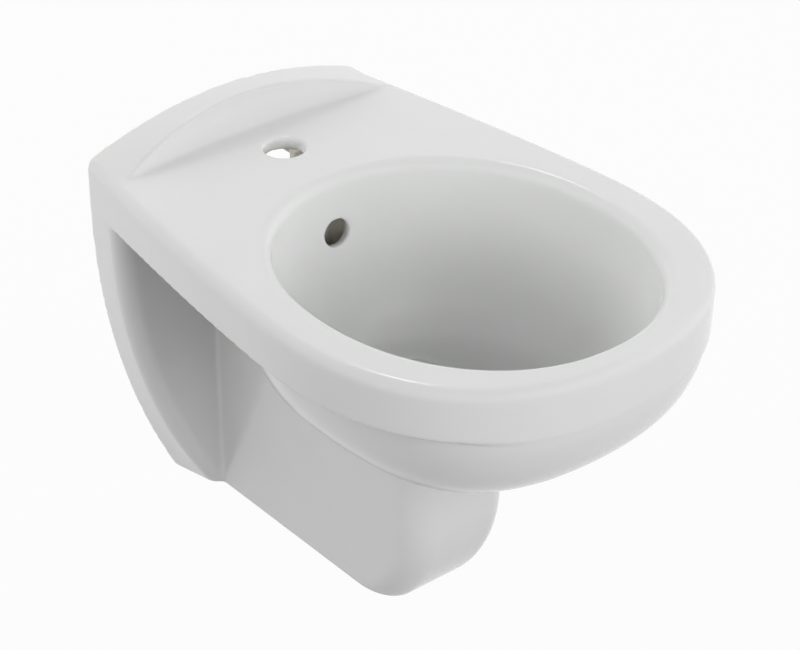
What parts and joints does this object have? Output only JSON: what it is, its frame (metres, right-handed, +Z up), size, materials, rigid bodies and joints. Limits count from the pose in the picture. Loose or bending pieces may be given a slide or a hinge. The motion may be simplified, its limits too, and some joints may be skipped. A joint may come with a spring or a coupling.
{
  "type": "wall-hung bidet",
  "caption": "Wall-hung bidet in white glazed ceramic with an oval bowl, overflow, empty tap hole, click plug waste, bottle trap and wall studs.",
  "frame": {"origin": "on the wall plane, midway between the two wall fixings", "axes": "+Z up, +Y into the wall, the bowl stands out towards -Y, X = 0 is the plane of symmetry"},
  "size_m": [0.3614, 0.5517, 0.366],
  "materials": {
    "ceramic": "glossy white glaze",
    "zinc_steel": "zinc plated",
    "white_plastic": "moulded, satin",
    "chrome": "polished chrome plate",
    "brass": "machined",
    "grey_plastic": "moulded",
    "spring_steel": "drawn stainless wire",
    "rubber": "matt moulded",
    "trap_plastic": "moulded, satin"
  },
  "bodies": {
    "pan": {"ceramic_body": "ceramic", "wall_studs": "zinc_steel", "fixing_washers": "zinc_steel", "fixing_nuts": "zinc_steel", "fixing_sleeves": "white_plastic", "fixing_caps": "white_plastic", "waste_washer": "white_plastic", "waste_body": "chrome", "waste_back_nut": "brass", "click_cartridge": "grey_plastic", "plug_spring": "spring_steel", "waste_top_seal": "rubber", "waste_under_seal": "rubber", "trap_inlet_seal": "rubber", "trap_neck_seal": "rubber", "trap_cup_seal": "rubber", "trap_outlet_seal": "rubber", "trap_inlet_nut": "trap_plastic", "trap_dip_tube": "trap_plastic", "trap_neck_nut": "trap_plastic", "trap_body": "trap_plastic", "trap_cup": "trap_plastic", "trap_outlet_nut": "trap_plastic", "trap_outlet_pipe": "trap_plastic"},
    "plug": {"plug_cap": "chrome", "plug_seal": "rubber", "plug_stem": "brass"}
  },
  "joints": [
    {"name": "plug_lift", "type": "slide", "parent": "pan", "child": "plug", "axis": [0, 0, 1], "range_m": [0, 0.009], "deforming": ["plug_spring"]}
  ]
}
